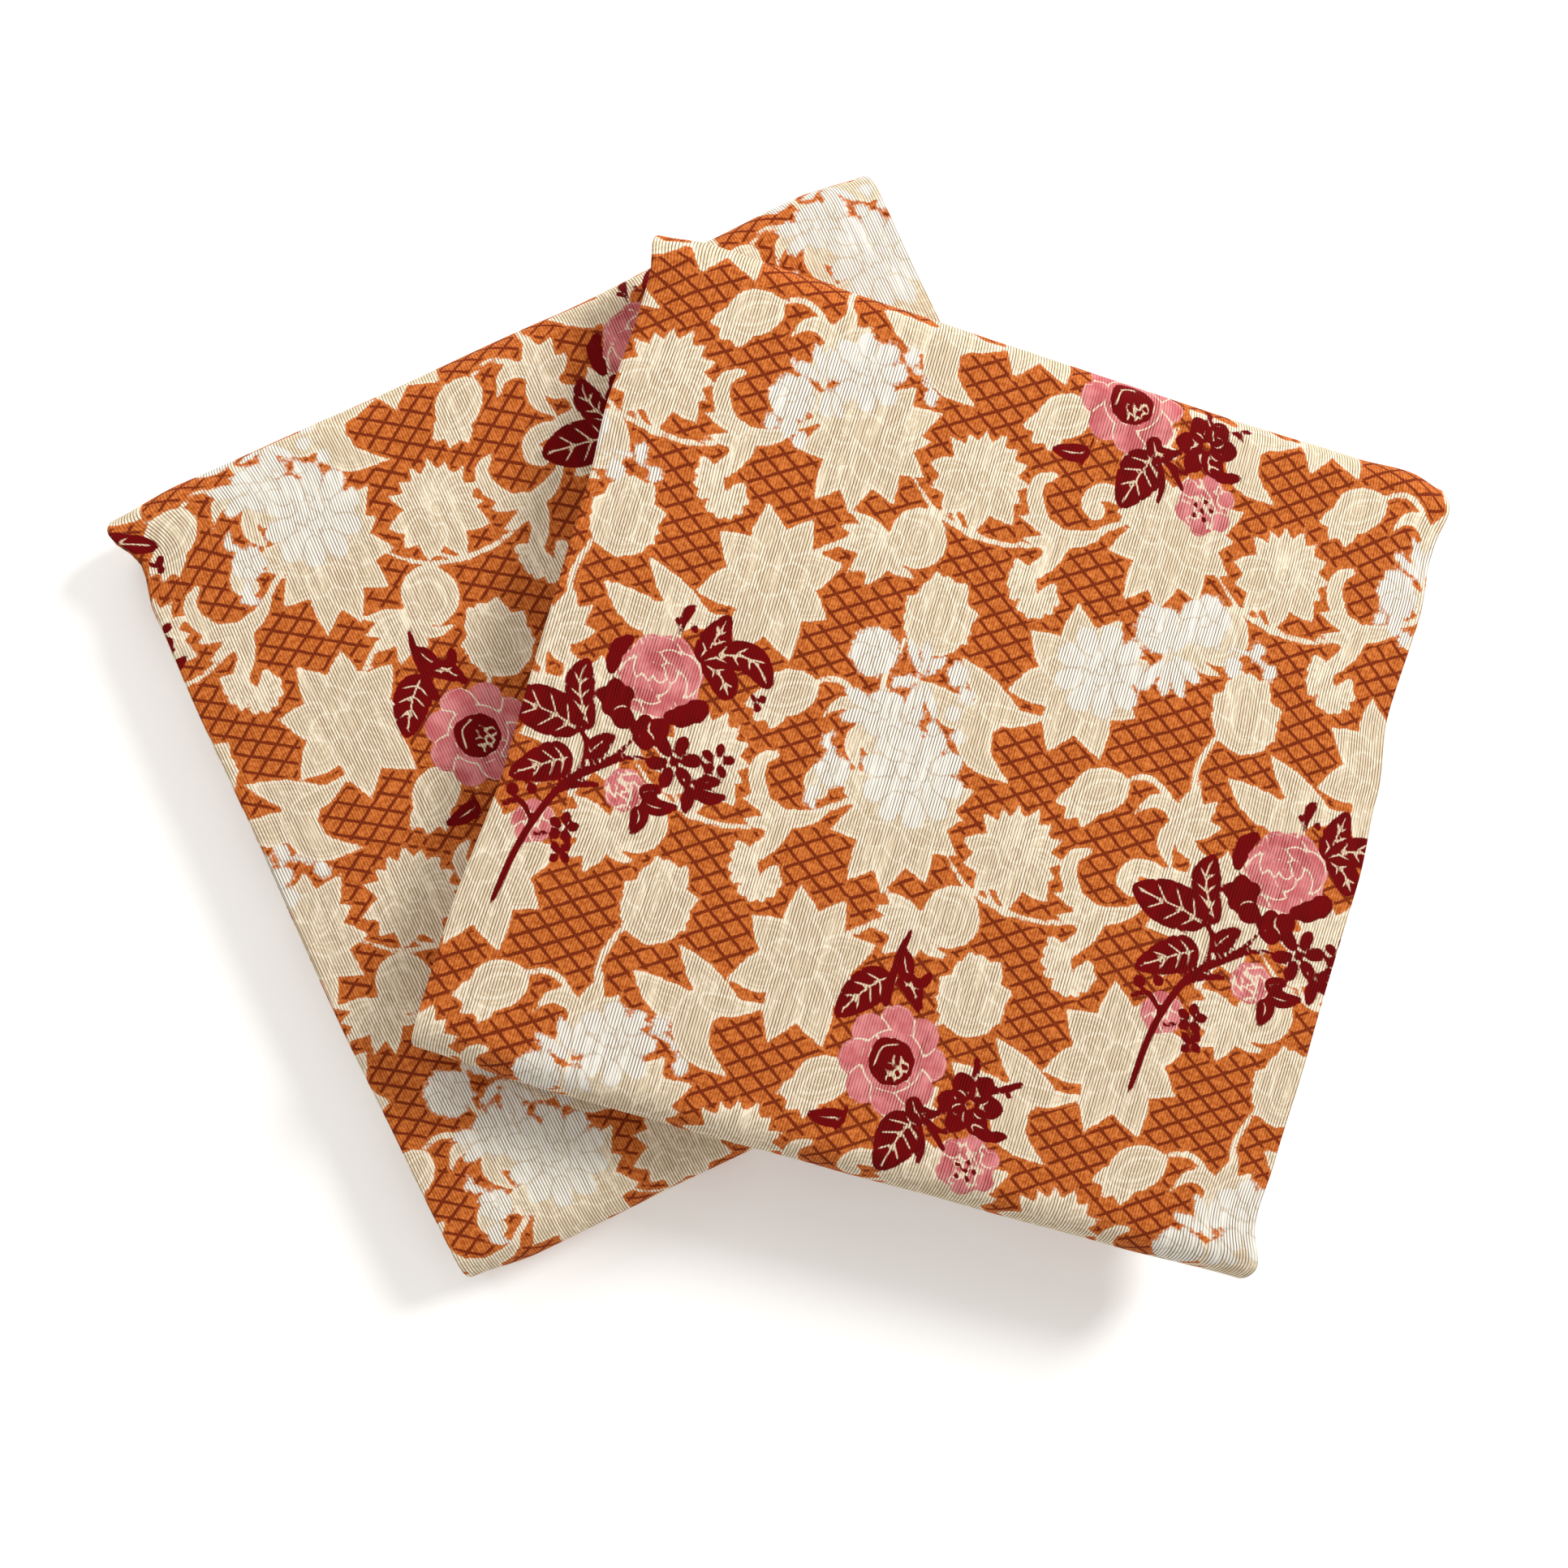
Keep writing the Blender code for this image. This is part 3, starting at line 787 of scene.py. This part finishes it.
def printed_cotton():
    """Quilting cotton: a plain weave of uneven matte threads, printed on its face with reactive dyes.
    The warp shows as fine streaks of painted shade between its threads, and the ink breaks at each thread
    along a motif's edge."""
    material, tree = new_material("printed quilting cotton")
    uv = add(tree, ("ShaderNodeUVMap", {"uv_map": "Cloth"}))
    place = add(tree, SCALE, uv, 1 / MM)
    u, v, _ = add(tree, SPLIT, place).node.outputs

    # threads, which drift sideways a little and vary in thickness along their length
    drift = add(tree, NOISE, add(tree, STRETCH, place, Scale=(0.05, 0.012, 1)), 1.0, 2.0, 0.6)
    warp_at = add(tree, PLUS, add(tree, OVER, u, THREAD_MM), add(tree, TIMES, drift, THREADS_DRIFT))
    warp = add(tree, SIZE_OF, add(tree, SINE, add(tree, TIMES, warp_at, math.pi)))
    weft = add(tree, SIZE_OF, add(tree, SINE, add(tree, TIMES, v, math.pi / PICK_MM)))
    along_thread = add(tree, JOIN, add(tree, WHOLE_PART, warp_at), add(tree, TIMES, v, 0.035))
    slub = add(tree, NOISE, along_thread, 1.0, 3.0, 0.6)
    lint = add(tree, NOISE, add(tree, STRETCH, place, Scale=(1.3, 0.25, 1)), 1.0, 3.0, 0.6)
    gap = add(tree, MINUS, 1.0, add(tree, RAMP, warp, *BODY))
    gap = add(tree, TIMES, gap, add(tree, RAMP, slub, *THIN))
    gap = add(tree, TIMES, gap, add(tree, PLUS, 1 - WEFT_SHOWS, add(tree, TIMES, weft, WEFT_SHOWS)))

    # how deep each place is in each colour, in millimetres, broken at the threads
    cream_field = add(tree, ("ShaderNodeAttribute", {"attribute_name": "Cream"})).node.outputs["Vector"]
    rose_field = add(tree, ("ShaderNodeAttribute", {"attribute_name": "Roses"})).node.outputs["Vector"]
    cream_depth, cream_line, white_depth = add(tree, SPLIT, cream_field).node.outputs
    crimson_depth, pink_depth, rose_line = add(tree, SPLIT, rose_field).node.outputs
    ragged = add(tree, NOISE, add(tree, STRETCH, place, Scale=(1.0, 1.6, 1)), 1.0, 2.0, 0.6)
    ragged = add(tree, TIMES, add(tree, MINUS, ragged, 0.5), BREAKS_MM)
    hand_drawn = add(tree, NOISE, add(tree, STRETCH, place, Scale=(0.45, 0.45, 1)), 1.0, 3.0, 0.6)
    hand_drawn = add(tree, MINUS, hand_drawn, 0.5)
    edge = add(tree, TIMES, hand_drawn, CREAM_WANDERS_MM)
    edge = add(tree, PLUS, add(tree, TIMES, ragged, CREAM_BREAKS), edge)
    cream = add(tree, PLUS, cream_depth, edge)
    edge = add(tree, TIMES, hand_drawn, WHITE_WANDERS_MM)
    edge = add(tree, PLUS, add(tree, TIMES, ragged, WHITE_BREAKS), edge)
    white = add(tree, PLUS, white_depth, edge)
    crimson = add(tree, PLUS, crimson_depth, add(tree, TIMES, ragged, ROSE_BREAKS))
    pink = add(tree, PLUS, pink_depth, add(tree, TIMES, ragged, ROSE_BREAKS))
    off_line = add(tree, SIZE_OF, add(tree, PLUS, rose_line, add(tree, TIMES, ragged, LINE_BREAKS)))

    # a vein fades out near its leaf's edge
    near_edge = add(tree, MINUS, 1.0, add(tree, RAMP, crimson_depth, 0.5, 2.2))
    vein_fades = add(tree, TIMES, add(tree, RAMP, crimson_depth, 0.0, 0.2), near_edge)
    off_line = add(tree, PLUS, off_line, add(tree, TIMES, vein_fades, 0.5))

    # the ground and its trellis, which stops short of the flowers
    mottle = add(tree, NOISE, add(tree, STRETCH, place, Scale=(0.7, 0.7, 1)), 1.0, 3.0, 0.6)
    ground = add(tree, PAINT, add(tree, RAMP, mottle, 0.35, 0.65), linear(RUST), linear(PALE_RUST))
    wobble = add(tree, NOISE, add(tree, STRETCH, place, Scale=(0.35, 0.35, 1)), 1.0, 2.0, 0.6)
    wobble = add(tree, TIMES, add(tree, MINUS, wobble, 0.5), 0.16)
    right, up = add(tree, OVER, u, DIAMOND_WIDE_MM), add(tree, OVER, v, DIAMOND_HIGH_MM)
    off = []
    for lines in (
        add(tree, PLUS, add(tree, PLUS, right, up), wobble),
        add(tree, MINUS, add(tree, MINUS, right, up), wobble),
    ):
        off.append(add(tree, SIZE_OF, add(tree, MINUS, add(tree, FRACTION, lines), 0.5)))
    line = add(tree, MINUS, 1.0, add(tree, RAMP, add(tree, SMALLER, *off), *TRELLIS_LINE))
    clear = add(tree, MINUS, 1.0, add(tree, RAMP, add(tree, LARGER, cream, white), *TRELLIS_STOPS_MM))
    colour = add(tree, PAINT, add(tree, TIMES, line, clear), ground, linear(TRELLIS_BROWN))

    # cream flowers: a pale rim, then beige with fine pale contours and petal edges
    contour = add(tree, FRACTION, add(tree, OVER, cream_depth, CONTOUR_MM))
    contour = add(tree, RAMP, add(tree, SIZE_OF, add(tree, MINUS, contour, 0.5)), 0.3, 0.46)
    rim = add(tree, MINUS, 1.0, add(tree, RAMP, cream, *RIM_MM))
    petal_edge = add(tree, MINUS, 1.0, add(tree, RAMP, add(tree, SIZE_OF, cream_line), *PETAL_EDGE_MM))
    pale = add(tree, LARGER, add(tree, LARGER, add(tree, TIMES, contour, 0.7), rim), petal_edge)
    flower = add(tree, PAINT, pale, linear(BEIGE), linear(CREAM))
    colour = add(tree, PAINT, add(tree, RAMP, cream, *CREAM_EDGE_MM), colour, flower)

    # roses, with their petal lines and veins left unprinted
    petal = add(tree, RAMP, off_line, *ROSE_LINE_MM)
    shade = add(tree, NOISE, add(tree, STRETCH, place, Scale=(0.12, 0.12, 1)), 1.0, 2.0, 0.6)
    white_share = add(tree, TIMES, petal, add(tree, PLUS, 0.5, shade))
    white_rose = add(tree, PAINT, white_share, linear(SHADED_WHITE), linear(WHITE))
    colour = add(tree, PAINT, add(tree, RAMP, white, *WHITE_EDGE_MM), colour, white_rose)
    pink_ink = add(tree, PAINT, add(tree, RAMP, shade, 0.3, 0.7), linear(PINK), linear(PALE_PINK))
    pink_rose = add(tree, PAINT, petal, linear(PETAL_LINE), pink_ink)
    colour = add(tree, PAINT, add(tree, RAMP, pink, *ROSE_EDGE_MM), colour, pink_rose)
    leaf_colour = add(tree, PAINT, petal, linear(VEIN), linear(CRIMSON))
    colour = add(tree, PAINT, add(tree, RAMP, crimson, *ROSE_EDGE_MM), colour, leaf_colour)

    # painted shade in the gaps between the threads, darkest through the pale inks
    printed_pale = add(tree, LARGER, add(tree, RAMP, cream, -0.3, 0.3), add(tree, RAMP, white, -0.3, 0.3))
    painted_gap_shade = add(tree, TIMES, gap, add(tree, PLUS, GAP_SHADE, add(tree, TIMES, printed_pale, MORE_GAP_SHADE_IN_PALE)))
    colour = add(tree, STAIN, painted_gap_shade, colour, linear(PAINTED_GAP_SHADE_COLOUR))
    fibre = add(tree, PLUS, 1 - LINT_SHOWS / 2, add(tree, TIMES, lint, LINT_SHOWS))
    colour = add(tree, STAIN, 1.0, colour, add(tree, GREY, fibre, fibre, fibre))

    # the threads stand up a little
    height = add(tree, PLUS, add(tree, TIMES, warp, 0.7), add(tree, TIMES, weft, 0.3))
    height = add(tree, PLUS, height, add(tree, TIMES, slub, 0.5))
    threads = add(tree, BUMP, Strength=0.5, Distance=0.12 * MM, Height=height)
    shader = add(tree, SHADER, Base_Color=colour, Roughness=0.88, Specular_IOR_Level=0.1, Normal=threads)
    add(tree, OUTPUT, Surface=shader)
    return material


def kraft_paper(name, colour, darker):
    """Kraft paper of corrugated board: brown, matte, with short fibres pressed along the machine's way."""
    material, tree = new_material(name)
    place = add(tree, ("ShaderNodeTexCoord", {})).node.outputs["Object"]
    fibres = add(tree, NOISE, add(tree, STRETCH, place, Scale=(1, 6, 6)), 260.0, 4.0, 0.7)
    clouds = add(tree, NOISE, place, 40.0, 2.0)
    share = add(tree, ("ShaderNodeMapRange", {}), add(tree, TIMES, fibres, clouds), 0.1, 0.42)
    paper = add(tree, PAINT, share, linear(darker), linear(colour))
    pressed = add(tree, BUMP, Strength=0.3, Distance=0.08 * MM, Height=fibres)
    shader = add(tree, SHADER, Base_Color=paper, Roughness=0.82, Normal=pressed)
    add(tree, OUTPUT, Surface=shader)
    return material


# ---------------------------------------------------------------- make the bolts

cotton = printed_cotton()
liner_paper = kraft_paper("kraft liner paper", "#B9986F", "#94734D")
medium_paper = kraft_paper("fluted recycled paper", "#A3835C", "#7F6142")

lower = Bolt("lower", print_shift_mm=np.array([-73.0, 127.0]))
upper = Bolt("upper", print_shift_mm=np.array([0.0, 0.0]))
for bolt in (lower, upper):
    make_cloth(bolt, "outer_turn", CLOTH_END - 1, CLOTH_END, OUTER_PITCHES, cotton)
    make_cloth(bolt, "inner_turns", 0, CLOTH_END - 1, INNER_PITCHES, cotton)
    for part, paper, slot_name in (
        ("board_top_liner", liner_paper, "kraft_liner"),
        ("board_bottom_liner", liner_paper, "kraft_liner"),
        ("board_fluted_medium", medium_paper, "kraft_medium"),
    ):
        node = frame["nodes"][f"{bolt.name}_{part}"]
        node.data.materials.clear()
        node.data.materials.append(paper)

# ---------------------------------------------------------------- floor, light and camera


FLOOR_SIZE = 6
FLOOR_LEVEL = -0.0004  # just clear of the cloth


def make_floor():
    bpy.ops.object.select_all(action="DESELECT")
    bpy.ops.mesh.primitive_plane_add(size=FLOOR_SIZE, location=(0, 0, FLOOR_LEVEL))
    floor = bpy.context.object
    floor.name = "floor"
    material, tree = new_material("white seamless paper")
    shader = add(tree, SHADER, Base_Color=linear("#FDFDFC"), Roughness=0.9, Emission_Strength=0.12)
    shader.node.inputs["Emission Color"].default_value = (1, 1, 1, 1)
    add(tree, OUTPUT, Surface=shader)
    floor.data.materials.append(material)


def make_light(name, place, aim, power, size):
    light = bpy.data.lights.new(name, "AREA")
    light.shape = "DISK"
    light.size = size
    light.energy = power
    lamp = bpy.data.objects.new(name, light)
    bpy.context.scene.collection.objects.link(lamp)
    lamp.location = place
    x, y, z = np.array(aim) - place
    lamp.rotation_euler = (math.atan2(math.hypot(x, y), -z), 0, math.atan2(y, x) - math.pi / 2)


make_floor()
make_light("window light", place=(1.25, 0.95, 1.3), aim=(0, 0, 0), power=30, size=0.62)
make_light("far fill light", place=(-0.55, 0.9, 0.8), aim=(-0.1, 0.1, 0), power=5.0, size=0.8)

world = bpy.data.worlds.new("soft white room")
bpy.context.scene.world = world
world.use_nodes = True
background = world.node_tree.nodes["Background"]
background.inputs["Color"].default_value = linear("#FFFBF6")
background.inputs["Strength"].default_value = 0.62

camera_data = bpy.data.cameras.new("camera")
camera_data.sensor_width = 36
camera_data.lens = 35.4
camera_data.clip_start = 0.01
camera = bpy.data.objects.new("camera", camera_data)
camera.location = (-0.0419, -0.0393, 0.5683)
camera.rotation_euler = (math.radians(1.84), math.radians(-4.46), 0)
bpy.context.scene.collection.objects.link(camera)
bpy.context.scene.camera = camera
bpy.context.scene.view_settings.view_transform = "Standard"
